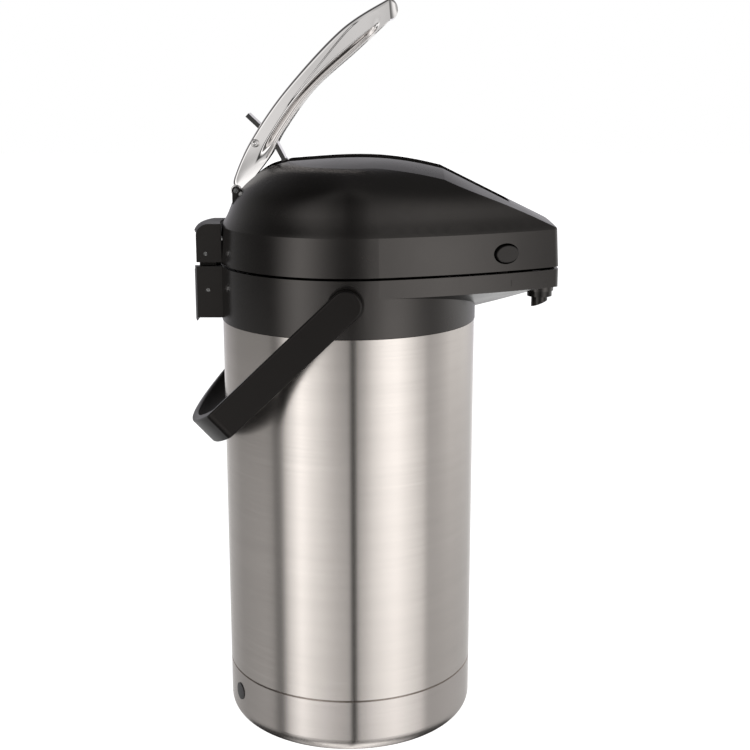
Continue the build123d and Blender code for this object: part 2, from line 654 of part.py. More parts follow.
def oval(plane, offset_by, length, height, depth, mode=Mode.ADD):
    """Oval plug that begins offset_by outside a plane and runs depth inwards."""
    with BuildSketch(plane.offset(offset_by)) as outline:
        Ellipse(length / 2, height / 2)
    return extrude(outline.sketch, amount=-depth, mode=mode)


outer_form = dome_form(0)

with BuildPart() as lever_tub:
    add(outer_form)
    tub_under = [(x, z - PLASTIC) for x, z in channel_line]
    tub_end = CHANNEL_END_X + PLASTIC
    slab([(-95, 400)] + tub_under + [(tub_end, 343), (tub_end, 400)],
         CHANNEL_HALF + PLASTIC - 0.2, Mode.INTERSECT)

with BuildPart() as screw_posts:
    with BuildSketch(Plane.XY.offset(LID_LOW + LID_PLATE + 0.2)):
        with Locations(*LID_SCREWS):
            Circle(4)
    extrude(amount=60)
    add(outer_form, mode=Mode.INTERSECT)

with BuildPart() as lid_shell:
    add(outer_form)
    add(dome_form(PLASTIC), mode=Mode.SUBTRACT)
    add(lever_tub.part)
    add(screw_posts.part)
    slab([(-95, 400)] + channel_line + [(CHANNEL_END_X, 400)], CHANNEL_HALF, Mode.SUBTRACT)
    # slot for the plunger's post and the tab's nose
    with Locations((POST_X, 0, POCKET_Z)):
        Box(26, 2 * TAB_HALF + 1.8, 12, mode=Mode.SUBTRACT)
    for side in (-1, 1):
        oval(button_plane(side), 4, BUTTON_SIZE[0] + 2 * BUTTON_GAP,
             BUTTON_SIZE[1] + 2 * BUTTON_GAP, 10, Mode.SUBTRACT)
    # screw holes in the posts and the rear wall
    with BuildSketch(Plane.XY.offset(LID_LOW)):
        with Locations(*LID_SCREWS):
            Circle(SCREW_R)
    extrude(amount=16, mode=Mode.SUBTRACT)
    along_x(upper_spots, SCREW_R, -92, 14, Mode.SUBTRACT)
    along_x(upper_spots, SCREW_HEAD_R + 0.3, SCREW_SEAT_X, 6, Mode.SUBTRACT)
save(lid_shell, "lid_shell")

with BuildPart() as lid_base:
    extrude(plan_face(LID_LOW + 0.2, PLASTIC + 0.4), amount=LID_PLATE)
    # pump pan, hanging into the collar's well
    add(turned((0, PAN_LOW), (PAN_R, PAN_LOW), (PAN_R, LID_LOW + 0.3), (0, LID_LOW + 0.3)))
    add(turned((0, PAN_LOW + PAN_WALL), (PAN_R - PAN_WALL, PAN_LOW + PAN_WALL),
               (PAN_R - PAN_WALL, LID_LOW + 5), (0, LID_LOW + 5)), mode=Mode.SUBTRACT)
    # boss that carries the air down to the stem cap
    with Locations((PUSH_BOSS_X, 0, PUSH_BOSS_Z)):
        Cylinder(19, 5, align=(Align.CENTER, Align.CENTER, Align.MIN))
        Cylinder(6, 20, mode=Mode.SUBTRACT)
    # countersunk screw holes
    with Locations(*[(x, y, LID_LOW + 0.2) for x, y in LID_SCREWS]):
        Cone(3.2, SCREW_R, 1.6, align=(Align.CENTER, Align.CENTER, Align.MIN), mode=Mode.SUBTRACT)
        Cylinder(SCREW_R, 10, mode=Mode.SUBTRACT)
    for side in (-1, 1):
        # an opening for the release button's hook, and an upright behind its spring
        with Locations((BUTTON_X, side * (beak_half_width(BUTTON_X) - 6.5), LID_LOW)):
            Box(12, 11, 20, mode=Mode.SUBTRACT)
        with BuildSketch(button_plane(side).offset(-BUTTON_SPRING_END)):
            with Locations((0, -2.6)):
                Rectangle(9, 12.4)
        extrude(amount=-2)
save(lid_base, "lid_base")

with BuildPart() as lid_screws:
    with Locations(*[(x, y, LID_LOW + 0.2) for x, y in LID_SCREWS]):
        Cone(3.2, SCREW_R, 1.6, align=(Align.CENTER, Align.CENTER, Align.MIN))
        Cylinder(SCREW_R, 14, align=(Align.CENTER, Align.CENTER, Align.MIN))
save(lid_screws, "lid_screws")

with BuildPart() as lid_gasket:
    with Locations((PUSH_BOSS_X, 0, FLANGE_TOP + 0.3)):
        Cylinder(17.5, PUSH_BOSS_Z - FLANGE_TOP - 0.3, align=(Align.CENTER, Align.CENTER, Align.MIN))
        Cylinder(11.5, 20, mode=Mode.SUBTRACT)
save(lid_gasket, "lid_gasket")

with BuildPart() as valve_flap:
    with Locations((PUSH_BOSS_X, 0, PAN_LOW + PAN_WALL)):
        Cylinder(8.5, 1.0, align=(Align.CENTER, Align.CENTER, Align.MIN))
save(valve_flap, "valve_flap")

# bellows: five folds between the pan and the plunger
FOLDS = 5
FOLD_DEPTH = 6.0
RUBBER = 1.2
bellows_low = PAN_LOW + PAN_WALL
fold_pitch = (PLUNGER_LOW - bellows_low) / (FOLDS + 0.5)
with BuildPart() as bellows_upright:
    outer_wall = [(BELLOWS_R - FOLD_DEPTH * (step % 2), bellows_low + fold_pitch * step / 2)
                  for step in range(2 * FOLDS + 2)]
    outer_wall[-1] = (outer_wall[-1][0], PLUNGER_LOW)
    inner_wall = [(r - 1.6 * RUBBER, z) for r, z in reversed(outer_wall)]
    add(turned(*outer_wall, *inner_wall))
with BuildPart() as bellows:
    add(bellows_upright.part.moved(Location((PUMP_X, 0, 0))))
save(bellows, "bellows")

SPRING_R = 24.0
WIRE_R = 1.1
with BuildPart() as return_spring:
    spring_low = bellows_low + WIRE_R + 0.4
    with BuildLine() as coil:
        Helix(pitch=6.8, height=PLUNGER_LOW - spring_low - WIRE_R - 0.4, radius=SPRING_R,
              center=(PUMP_X, 0, spring_low))
    with BuildSketch(Plane(origin=coil.line @ 0, z_dir=coil.line % 0)):
        Circle(WIRE_R)
    sweep()
save(return_spring, "return_spring")

with BuildPart() as plunger:
    with Locations((PUMP_X, 0, PLUNGER_LOW)):
        Cylinder(41, 2.8, align=(Align.CENTER, Align.CENTER, Align.MIN))
    with Locations((POST_X, 0, PLUNGER_LOW)):
        Box(10, 11, POST_TOP - PLUNGER_LOW, align=(Align.CENTER, Align.CENTER, Align.MIN))
save(plunger, "plunger")

BUTTON_CAP_DEPTH = 3.5
HOOK_GAP = 0.35
HOOK_THICK = 2.5
for name, side in (("release_button_near", -1), ("release_button_far", 1)):
    wall = button_plane(side)
    with BuildPart() as button:
        oval(wall, BUTTON_PROUD, BUTTON_SIZE[0], BUTTON_SIZE[1], BUTTON_PROUD + BUTTON_CAP_DEPTH)
        fillet(button.edges().sort_by(Axis(wall.origin, wall.z_dir))[-1], 0.7)
        # shank and hook arm: the arm stands just inside the catch
        with BuildSketch(wall.offset(-BUTTON_CAP_DEPTH)):
            Circle(BUTTON_SHANK_R)
        extrude(amount=BUTTON_CAP_DEPTH - BUTTON_SHANK_END)
        arm_y = catch_face_y - HOOK_GAP - HOOK_THICK / 2
        with Locations((BUTTON_X - 1.5, arm_y * side, 311)):
            Box(6, HOOK_THICK, 19)
        with BuildSketch(wall.offset(-BUTTON_CUP_START)):
            Circle(BUTTON_SPRING_R + 0.3)
        extrude(amount=BUTTON_CUP_START - BUTTON_SHANK_END, mode=Mode.SUBTRACT)
    save(button, name)

with BuildPart() as button_springs:
    for side in (-1, 1):
        with BuildSketch(button_plane(side).offset(-BUTTON_SPRING_START)):
            Circle(BUTTON_SPRING_R)
            Circle(BUTTON_SPRING_R - 1, mode=Mode.SUBTRACT)
        extrude(amount=BUTTON_SPRING_START - BUTTON_SPRING_END)
save(button_springs, "button_springs")

# ---- lever ---------------------------------------------------------------------------------
LEVER_PIN_R = 1.5
TAB_PIN_R = 1.6
EAR_INNER = LEVER_HALF + 0.4
BRACKET_EAR_R = 2.5
with BuildPart() as lever_bracket:
    plate_z = BRACKET_Z + 1.4
    slab([(-75, BRACKET_Z), (-62, BRACKET_Z), (-62, plate_z), (-75, plate_z)], CHANNEL_HALF)
    ear_rear, ear_front = LEVER_PIVOT[0] - BRACKET_EAR_R, LEVER_PIVOT[0] + BRACKET_EAR_R
    slab([(ear_rear, BRACKET_Z), (ear_front, BRACKET_Z), (ear_front, LEVER_PIVOT[1]),
          (ear_rear, LEVER_PIVOT[1])], CHANNEL_HALF)
    across(LEVER_PIVOT, BRACKET_EAR_R, CHANNEL_HALF)
    slab([(-90, plate_z), (-50, plate_z), (-50, 370), (-90, 370)], EAR_INNER, Mode.SUBTRACT)
    across(LEVER_PIVOT, LEVER_PIN_R, CHANNEL_HALF, Mode.SUBTRACT)
save(lever_bracket, "lever_bracket")

with BuildPart() as lever_pin:
    across(LEVER_PIVOT, LEVER_PIN_R, CHANNEL_HALF)
save(lever_pin, "lever_pin")

lever_back = [(-74.0, 359.5), (-73.0, 365), (-61.5, 389), (-39.3, 420.2), (-4.1, 457.1),
              (26.0, 476.0)]
lever_front = [(26.7, 463.2), (6.6, 444.9), (-21.5, 420.2), (-40.3, 395.1), (-50.5, 377.5)]
lever_tip = (31.7, 469.3)
heel = (LEVER_PIVOT[0] + 2.8, LEVER_PIVOT[1] - 2.2)
HOLLOW_SHIFT = Location((0.3, 0, -2.3))     # leaves the back, the flanks and the tip standing

with BuildPart() as lever_solid:
    with BuildSketch(Plane.XZ):
        with BuildLine():
            back = Spline(*lever_back)
            ThreePointArc(back @ 1, lever_tip, lever_front[0])
            front = Spline(*lever_front)
            Line(front @ 1, heel)
            ThreePointArc(heel, (LEVER_PIVOT[0], LEVER_PIVOT[1] - 3.6), back @ 0)
        make_face()
    extrude(amount=LEVER_HALF, both=True)

with BuildPart() as lever_hollow:
    add(lever_solid.part.moved(HOLLOW_SHIFT))
    slab([(-90, 340), (60, 340), (60, 500), (-90, 500)], LEVER_HALF - LEVER_SHEET,
         Mode.INTERSECT)

with BuildPart() as lever_arm:
    add(lever_solid.part)
    add(lever_hollow.part, mode=Mode.SUBTRACT)
    across(LEVER_PIVOT, LEVER_PIN_R + RUNNING_GAP, LEVER_HALF, Mode.SUBTRACT)
    across(TAB_PIVOT, TAB_PIN_R, LEVER_HALF, Mode.SUBTRACT)
    # window in the back for the tab
    slab([(-68, 382), (-57.5, 403.5), (-50.5, 399), (-58.5, 380)], TAB_HALF + 0.6,
         Mode.SUBTRACT)
save(lever_arm, "lever_arm")

with BuildPart() as tab_rivet:
    across(TAB_PIVOT, TAB_PIN_R, LEVER_HALF)
    across(TAB_PIVOT, 2.6, LEVER_HALF + 0.8)
    across(TAB_PIVOT, 3, LEVER_HALF, Mode.SUBTRACT)
    across(TAB_PIVOT, TAB_PIN_R, LEVER_HALF)
save(tab_rivet, "tab_rivet")

with BuildPart() as between_ears:
    across(TAB_PIVOT, 8.2, TAB_HALF - 1.5)

with BuildPart() as release_tab:
    # blade, bent over towards the nose
    with BuildSketch(Plane.XZ.offset(-TAB_HALF)):
        with BuildLine():
            Polyline((-64.8, 403.8), (-48.6, 388.6), (TAB_NOSE[0] - 1.2, TAB_NOSE[1]))
            offset(amount=TAB_SHEET, side=Side.LEFT)
        make_face()
    extrude(amount=2 * TAB_HALF)
    across(TAB_NOSE, TAB_NOSE_R, 4)
    # ears down to the rivet
    slab([(TAB_PIVOT[0] - 3, TAB_PIVOT[1]), (-55.0, 395.5), (-47.5, 388.5),
          (TAB_PIVOT[0] + 1, TAB_PIVOT[1] - 3)], TAB_HALF)
    across(TAB_PIVOT, 3.2, TAB_HALF)
    add(between_ears.part, mode=Mode.SUBTRACT)
    across(TAB_PIVOT, TAB_PIN_R + RUNNING_GAP, TAB_HALF, Mode.SUBTRACT)
save(release_tab, "release_tab")

with BuildPart() as tab_spring:
    across(TAB_PIVOT, 2.9, TAB_HALF - 2)
    across(TAB_PIVOT, TAB_PIN_R + 0.3, TAB_HALF, Mode.SUBTRACT)
save(tab_spring, "tab_spring")
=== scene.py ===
import json
from math import cos, pi, radians, sin

import bmesh
import bpy
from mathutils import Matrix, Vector


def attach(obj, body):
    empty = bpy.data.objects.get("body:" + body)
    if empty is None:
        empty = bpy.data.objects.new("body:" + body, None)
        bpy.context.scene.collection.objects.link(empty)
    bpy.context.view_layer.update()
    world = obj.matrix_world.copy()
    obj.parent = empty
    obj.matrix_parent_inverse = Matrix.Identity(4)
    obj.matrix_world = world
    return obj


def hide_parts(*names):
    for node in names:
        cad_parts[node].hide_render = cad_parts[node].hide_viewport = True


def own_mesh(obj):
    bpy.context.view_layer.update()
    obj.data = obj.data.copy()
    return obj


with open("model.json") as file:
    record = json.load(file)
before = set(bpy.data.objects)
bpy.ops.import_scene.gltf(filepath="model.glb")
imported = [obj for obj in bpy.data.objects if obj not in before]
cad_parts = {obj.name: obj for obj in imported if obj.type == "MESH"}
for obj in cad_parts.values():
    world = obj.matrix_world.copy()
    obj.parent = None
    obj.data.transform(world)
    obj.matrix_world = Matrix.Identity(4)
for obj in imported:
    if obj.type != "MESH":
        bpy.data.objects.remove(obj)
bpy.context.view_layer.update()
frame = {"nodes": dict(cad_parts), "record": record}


# ---- shader helpers ------------------------------------------------------------------------
MIX_A, MIX_B, MIX_RESULT = 6, 7, 2      # the colour sockets of a Mix node
NOISE_ROUGHNESS = 0.55


def fresh_material(name):
    """A new node material, as (material, its node tree, its Principled shader)."""
    material = bpy.data.materials.new(name)
    material.use_nodes = True
    tree = material.node_tree
    return material, tree, tree.nodes["Principled BSDF"]


def add_node(tree, kind, values=None, **settings):
    """A shader node with its settings, and the values of its input sockets, by name or number."""
    node = tree.nodes.new(kind)
    for key, value in settings.items():
        setattr(node, key, value)
    for key, value in (values or {}).items():
        node.inputs[key].default_value = value
    return node


def stretched(tree, stretch):
    """Object coordinates in metres, multiplied along each axis."""
    place = add_node(tree, "ShaderNodeTexCoord")
    mapping = add_node(tree, "ShaderNodeMapping", {"Scale": stretch})
    tree.links.new(place.outputs["Object"], mapping.inputs["Vector"])
    return mapping.outputs["Vector"]


def noise(tree, stretch, scale, detail):
    """Noise of a size set by scale, per metre, over stretched object coordinates."""
    texture = add_node(tree, "ShaderNodeTexNoise",
                       {"Scale": scale, "Detail": detail, "Roughness": NOISE_ROUGHNESS})
    tree.links.new(stretched(tree, stretch), texture.inputs["Vector"])
    return texture.outputs["Fac"]


def spread(tree, source, low, high, start=0.3, end=0.7):
    """Maps start..end of a value to low..high."""
    ranged = add_node(tree, "ShaderNodeMapRange",
                      {"From Min": start, "From Max": end, "To Min": low, "To Max": high})
    tree.links.new(source, ranged.inputs["Value"])
    return ranged.outputs["Result"]


def tinted(tree, source, dark, light):
    """Mixes two colours by a value from 0 to 1."""
    mix = add_node(tree, "ShaderNodeMix", data_type="RGBA")
    mix.inputs[MIX_A].default_value = (*dark, 1)
    mix.inputs[MIX_B].default_value = (*light, 1)
    tree.links.new(source, mix.inputs["Factor"])
    return mix.outputs[MIX_RESULT]


def shade(colour, share):
    """A colour made darker or lighter by share, and no lighter than white."""
    return tuple(min(1.0, c * share) for c in colour)


def bump(tree, shader, height, strength, distance):
    """Small relief on a shader's normal."""
    relief = add_node(tree, "ShaderNodeBump", {"Strength": strength, "Distance": distance})
    tree.links.new(height, relief.inputs["Height"])
    tree.links.new(relief.outputs["Normal"], shader.inputs["Normal"])


# ---- materials -----------------------------------------------------------------------------
BRUSHED_ROUGHNESS = 0.22
STREAK = 0.03               # how much rougher or smoother single hairlines are
PEBBLES_PER_METRE = 2600    # fine texture of moulded plastic
WARM_GLOSS = (1.0, 0.93, 0.88, 1)
EVEN = (1, 1, 1)            # noise with no direction


def brushed_steel(name, colour):
    """Steel brushed round the Z axis: hairlines run level, so highlights stretch upright."""
    material, tree, shader = fresh_material(name)
    shader.inputs["Metallic"].default_value = 1.0
    shader.inputs["Anisotropic"].default_value = 0.95
    shader.inputs["Anisotropic Rotation"].default_value = 0.25
    tangent = add_node(tree, "ShaderNodeTangent", direction_type="RADIAL", axis="Z")
    tree.links.new(tangent.outputs["Tangent"], shader.inputs["Tangent"])
    hairline = noise(tree, (1, 1, 160), 14, 4)
    band = noise(tree, (1, 1, 14), 9, 2)
    tree.links.new(spread(tree, hairline, BRUSHED_ROUGHNESS - STREAK, BRUSHED_ROUGHNESS + STREAK),
                   shader.inputs["Roughness"])
    tree.links.new(tinted(tree, spread(tree, band, 0, 1), shade(colour, 0.98), shade(colour, 1.02)),
                   shader.inputs["Base Color"])
    bump(tree, shader, hairline, 0.05, 0.00003)
    return material


def moulded(name, colour, roughness, grain=0.05, relief=0.00006, gloss=0.5):
    """Moulded plastic with a fine spark-eroded texture. Its reflections are slightly warm."""
    material, tree, shader = fresh_material(name)
    pebbles = noise(tree, EVEN, PEBBLES_PER_METRE, 2)
    cloud = noise(tree, EVEN, 30, 3)
    tree.links.new(spread(tree, cloud, roughness - grain, roughness + grain),
                   shader.inputs["Roughness"])
    tree.links.new(tinted(tree, spread(tree, pebbles, 0, 1), shade(colour, 0.85),
                          shade(colour, 1.18)), shader.inputs["Base Color"])
    shader.inputs["IOR"].default_value = 1.5
    shader.inputs["Specular IOR Level"].default_value = gloss
    shader.inputs["Specular Tint"].default_value = WARM_GLOSS
    bump(tree, shader, pebbles, 0.3, relief)
    return material


def plated(name, colour, roughness):
    """Polished plating with faint waves from polishing."""
    material, tree, shader = fresh_material(name)
    shader.inputs["Metallic"].default_value = 1.0
    waves = noise(tree, EVEN, 60, 2)
    scuffs = noise(tree, EVEN, 900, 3)
    tree.links.new(spread(tree, scuffs, roughness * 0.6, roughness * 1.5),
                   shader.inputs["Roughness"])
    tree.links.new(tinted(tree, spread(tree, waves, 0, 1), shade(colour, 0.97), colour),
                   shader.inputs["Base Color"])
    bump(tree, shader, waves, 0.1, 0.0002)
    return material


FINISHES = {
    "brushed_body": brushed_steel("brushed_body", (0.69, 0.64, 0.60)),
    "brushed_base": brushed_steel("brushed_base", (0.67, 0.62, 0.585)),
    "inner_steel": brushed_steel("inner_steel", (0.62, 0.62, 0.61)),
    "shell_plastic": moulded("shell_plastic", (0.0030, 0.0026, 0.0025), 0.25, 0.03, 0.00003,
                             gloss=0.8),
    "fitting_plastic": moulded("fitting_plastic", (0.0045, 0.004, 0.0038), 0.38, gloss=0.42),
    "handle_plastic": moulded("handle_plastic", (0.0035, 0.003, 0.0029), 0.36, 0.03, 0.00004,
                              gloss=0.34),
    "button_plastic": moulded("button_plastic", (0.004, 0.0037, 0.0037), 0.36),
    "nozzle_plastic": moulded("nozzle_plastic", (0.003, 0.003, 0.003), 0.24, 0.03, 0.00002),
    "tube_plastic": moulded("tube_plastic", (0.72, 0.72, 0.70), 0.3, 0.03, 0.00001),
    "rubber_black": moulded("rubber_black", (0.015, 0.015, 0.015), 0.7, 0.05, 0.00005),
    "bellows_rubber": moulded("bellows_rubber", (0.52, 0.51, 0.47), 0.6, 0.05, 0.00005),
    "badge": moulded("badge", (0.02, 0.02, 0.022), 0.3, 0.03, 0.00002),
    "lever_chrome": plated("lever_chrome", (0.84, 0.815, 0.80), 0.05),
    "pin_steel": plated("pin_steel", (0.80, 0.79, 0.78), 0.14),
}

for part in frame["record"]["subparts"]:
    node = frame["nodes"][part["node"]]
    for material_slot in node.material_slots:
        material_slot.material = FINISHES[part["material_slot"]]


# ---- lever ---------------------------------------------------------------------------------
# The lever's back and front edges from heel to tip, as X and Z in millimetres.
LEVER_BACK = ((-72.2, 359.5), (-72.4, 366), (-61.5, 389), (-39.3, 420.2), (-4.1, 457.1), (26, 476))
LEVER_FRONT = ((-68.2, 355.8), (-50.5, 377.5), (-40.3, 395.1), (-21.5, 420.2), (6.6, 444.9),
               (26.7, 463.2))
LEVER_NOSE = 5.2            # how far the rounded tip stands out
NOSE_TAPER = 0.18           # how much narrower the tip gets
LEVER_STATIONS = 120        # sections along the lever
LEVER_HALF = 15.0           # half width at the front edge
LEVER_PIVOT = (-71, 358)
SHEET = 1.1                 # thickness of the pressed metal
CORNER_R = 2.6              # outer bend between the back and a flank
FLANK_LEAN = 1.9            # the flanks lean in towards the back
PANEL_STEP = 0.25           # depth of the flat panel pressed into a flank
HOLLOW_DEPTH = 4.0          # depth of the hollow along its front edge
FLANK_STEPS = 64
HEEL_R = 3.5                # round end of each flank, and the hole in it
PIN_HOLE_R = 1.6
HEEL_INNER = 13.2           # half width between those ends
SIDES = 48                  # of a turned piece

TAB_PIVOT = (-58.5, 387.5)
TAB_WINDOW = ((-69, 382), (-58.5, 403.5), (-50.5, 399), (-58.5, 380))
TAB_WINDOW_HALF = 8.1
# Half of the tab's rivet from its middle outwards and back in, as radius and Y.
RIVET_HALF = ((0.01, 15.1), (0.9, 15.1), (1.1, 15.5), (1.6, 15.75), (2.1, 15.65), (2.5, 15.2),
              (2.6, 14.6), (2.6, 13.2), (1.6, 13.0))

EAR_R = 2.7                 # round end of the bracket's ears
EAR_GAP = 0.45              # between an ear and the lever
BRACKET_HALF = 17.35
BRACKET_Z = 349             # floor of the lid's channel under the bracket
BRACKET_FRONT = -62.5
BRACKET_EDGE = 0.2          # rounding of its edges

MM = 0.001


def smooth(value, start, width):
    """0 before start, 1 past start + width, and a smooth rise between."""
    share = min(1.0, max(0.0, (value - start) / width))
    return share * share * (3 - 2 * share)


def along(points, share):
    """The point at share, 0 to 1, of a curve that runs smoothly through points."""
    place = share * (len(points) - 1)
    index = min(int(place), len(points) - 2)
    step = place - index
    near = [Vector(points[max(0, min(len(points) - 1, index + k))]) for k in (-1, 0, 1, 2)]
    a, b, c, d = near
    return 0.5 * (2 * b + (c - a) * step + (2 * a - 5 * b + 4 * c - d) * step ** 2
                  + (3 * b - a - 3 * c + d) * step ** 3)


def flank_half_width(across, length):
    """Half width of the pressed flank. across runs from back to front, length from heel to tip."""
    # the pressing fades in past the heel and out before the tip, where its end is curved
    panel_end = 0.94 - 0.05 * (2 * across - 1) ** 2
    inside = smooth(length, 0.20, 0.16) * (1 - smooth(length, panel_end - 0.05, 0.05))
    # the panel's rear edge moves back towards the tip
    crease = 0.50 - 0.42 * smooth(length, 0.55, 0.38)
    step = smooth(across, crease, 0.06) * smooth(length, 0.50, 0.1)
    # near its front edge the flank curves in, and the rim turns out again
    hollow_start = 0.55 + 0.14 * smooth(length, 0.6, 0.3)
    hollow = smooth(across, hollow_start, 0.88 - hollow_start) * (1 - smooth(across, 0.88, 0.06))
    lean = FLANK_LEAN * (across - 1)
    return LEVER_HALF - 0.1 + lean - inside * (PANEL_STEP * step + HOLLOW_DEPTH * hollow)


def lever_profile(length, depth):
    """Half section from the middle of the back to the rim, as (mm from the back, half width)."""
    shoulder = flank_half_width(CORNER_R / depth, length)
    crown = 0.1             # the back is this much proud of where its bends start
    points = [(0, 0), (0, 4), (crown / 2, 8)]
    for turn in range(0, 91, 15):
        points.append((crown + (CORNER_R - crown) * (1 - cos(radians(turn))),
                       shoulder - CORNER_R + CORNER_R * sin(radians(turn))))
    for index in range(1, FLANK_STEPS + 1):
        reach = CORNER_R + (depth - CORNER_R) * index / FLANK_STEPS
        points.append((reach, flank_half_width(reach / depth, length)))
    return points


def lever_loop(length):
    """Closed section of the channel at length: its outer face and then its inner face."""
    back, front = along(LEVER_BACK, length), along(LEVER_FRONT, length)
    depth = (front - back).length
    towards = (front - back) / depth
    half = lever_profile(length, depth)
    inner = [(max(reach, SHEET), max(0.0, width - SHEET)) for reach, width in half]
    outer_side = [(reach, -width) for reach, width in reversed(half)] + half[1:]
    inner_side = inner[:0:-1] + [(reach, -width) for reach, width in inner]
    loop = []
    for reach, width in outer_side + inner_side:
        spot = back + towards * reach
        loop.append(Vector((spot.x, width, spot.y)))
    return loop, len(outer_side)


def skin(mesh, loops):
    """Quads between neighbouring loops, and the rows of vertices."""
    rows = [[mesh.verts.new(point * MM) for point in loop] for loop in loops]
    for low, high in zip(rows, rows[1:]):
        for index in range(len(low)):
            after = (index + 1) % len(low)
            mesh.faces.new((low[index], low[after], high[after], high[index]))
    return rows


def close_channel(mesh, row, outer_count):
    """Closes an open end of the sheet: faces between its outer and its inner face."""
    count = len(row)
    for index in range(outer_count - 1):
        mesh.faces.new((row[index], row[index + 1], row[(count - 2 - index) % count],
                        row[(count - 1 - index) % count]))


def turned_across(mesh, centre, points):
    """Skin turned about a line along Y through the XZ point centre. points are (radius, y)."""
    angles = [2 * turn * pi / SIDES for turn in range(SIDES)]
    skin(mesh, [[Vector((centre[0] + radius * cos(angle), y, centre[1] + radius * sin(angle)))
                 for angle in angles] for radius, y in points])


def heel_ring(mesh, side):
    """The round end of a flank, with the hole for the lever's pin."""
    outer, edge = LEVER_HALF - 0.15, 0.3
    points = [(PIN_HOLE_R, HEEL_INNER), (HEEL_R, HEEL_INNER), (HEEL_R, outer - edge),
              (HEEL_R - edge, outer), (PIN_HOLE_R, outer), (PIN_HOLE_R, HEEL_INNER)]
    turned_across(mesh, LEVER_PIVOT, [(radius, y * side) for radius, y in points])


def add_object(mesh, name, material):
    """A bmesh as a smooth-shaded object in the scene."""
    bmesh.ops.remove_doubles(mesh, verts=mesh.verts, dist=1e-7)
    bmesh.ops.recalc_face_normals(mesh, faces=mesh.faces)
    data = bpy.data.meshes.new(name)
    mesh.to_mesh(data)
    mesh.free()
    data.materials.append(material)
    piece = bpy.data.objects.new(name, data)
    bpy.context.scene.collection.objects.link(piece)
    data.shade_smooth()
    return piece


def prism(mesh, outline, low_y, high_y):
    """Closed solid between two values of Y whose outline has the given XZ points."""
    rows = [[mesh.verts.new(Vector((x, y, z)) * MM) for x, z in outline] for y in (low_y, high_y)]
    for row in rows:
        mesh.faces.new(row)
    for index in range(len(outline)):
        after = (index + 1) % len(outline)
        mesh.faces.new((rows[0][index], rows[0][after], rows[1][after], rows[1][index]))


def cut_tab_window(piece):
    """Cuts the window in the lever's back that the release tab passes through."""
    mesh = bmesh.new()
    prism(mesh, TAB_WINDOW, -TAB_WINDOW_HALF, TAB_WINDOW_HALF)
    cutter = add_object(mesh, "window_cutter", FINISHES["lever_chrome"])
    cut = piece.modifiers.new("window", "BOOLEAN")
    cut.operation = "DIFFERENCE"
    cut.object = cutter
    bpy.context.view_layer.update()
    shape = piece.evaluated_get(bpy.context.evaluated_depsgraph_get())
    piece.data = bpy.data.meshes.new_from_object(shape)
    piece.modifiers.clear()
    bpy.data.objects.remove(cutter)


def pressed_lever():
    """The pump lever: a pressed channel with a panel in each flank and a rolled front rim."""
    mesh = bmesh.new()
    loops = []
    for index in range(LEVER_STATIONS + 1):
        loop, outer_count = lever_loop(index / LEVER_STATIONS)
        loops.append(loop)
    last = loops[-1]
    middle = (along(LEVER_BACK, 1) + along(LEVER_FRONT, 1)) / 2
    centre = Vector((middle.x, 0, middle.y))
    # the tip is closed: its inner face is a wall between the rims
    closed = list(last)
    for index in range(outer_count, len(last)):
        share = (index - outer_count + 0.5) / (len(last) - outer_count)
        closed[index] = last[outer_count - 1].lerp(last[0], share)
    # and its sections shrink along a quarter turn
    for turn in range(0, 81, 10):
        squeeze = cos(radians(turn))
        ahead = LEVER_NOSE * sin(radians(turn))
        ring = []
        for point in closed:
            offset = (point - centre) * squeeze
            width = point.y * (1 - NOSE_TAPER * (1 - squeeze))
            ring.append(Vector((centre.x + offset.x + ahead, width, centre.z + offset.z)))
        loops.append(ring)
    rows = skin(mesh, loops)
    close_channel(mesh, rows[0], outer_count)
    close_channel(mesh, rows[-1], outer_count)
    for side in (-1, 1):
        heel_ring(mesh, side)
    piece = add_object(mesh, "pressed_lever", FINISHES["lever_chrome"])
    cut_tab_window(piece)
    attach(piece, "lever")
    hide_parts("lever_arm")


def rivet():
    """The tab's rivet: a shaft across the lever, with a dished and rounded head on each end."""
    mesh = bmesh.new()
    far_half = tuple((radius, -y) for radius, y in reversed(RIVET_HALF))
    turned_across(mesh, TAB_PIVOT, RIVET_HALF + far_half)
    piece = add_object(mesh, "tab_rivet_heads", FINISHES["lever_chrome"])
    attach(piece, "lever")
    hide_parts("tab_rivet")


def lever_bracket():
    """The bracket in the lid: a plate, and two ears with round ends that hold the lever's pin."""
    mesh = bmesh.new()
    rear, front = LEVER_PIVOT[0] - EAR_R + 0.3, LEVER_PIVOT[0] + EAR_R
    round_end = [(LEVER_PIVOT[0] + EAR_R * cos(radians(turn)),
                  LEVER_PIVOT[1] + EAR_R * sin(radians(turn))) for turn in range(-30, 211, 10)]
    foot = [(rear, BRACKET_Z + 0.3), (front + 3, BRACKET_Z + 0.3), (front + 1, BRACKET_Z + 2)]
    for side in (-1, 1):
        prism(mesh, foot + round_end, side * (LEVER_HALF + EAR_GAP), side * BRACKET_HALF)
    plate_half = BRACKET_HALF - 0.05
    low, high = BRACKET_Z + 0.1, BRACKET_Z + 1.3
    prism(mesh, [(rear, low), (BRACKET_FRONT, low), (BRACKET_FRONT, high), (rear, high)],
          -plate_half, plate_half)
    bmesh.ops.recalc_face_normals(mesh, faces=mesh.faces)
    bmesh.ops.bevel(mesh, geom=mesh.edges[:], offset=BRACKET_EDGE * MM, segments=2,
                    affect="EDGES", clamp_overlap=True)
    piece = add_object(mesh, "hinge_bracket", FINISHES["fitting_plastic"])
    piece.data.set_sharp_from_angle(angle=radians(35))
    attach(piece, "lid")
    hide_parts("lever_bracket")


pressed_lever()
rivet()
lever_bracket()

# The bellows and the spring, which flatten as the lever presses the plunger down, each get a mesh
# of their own.
for name in ("bellows", "return_spring"):
    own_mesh(frame["nodes"][name])


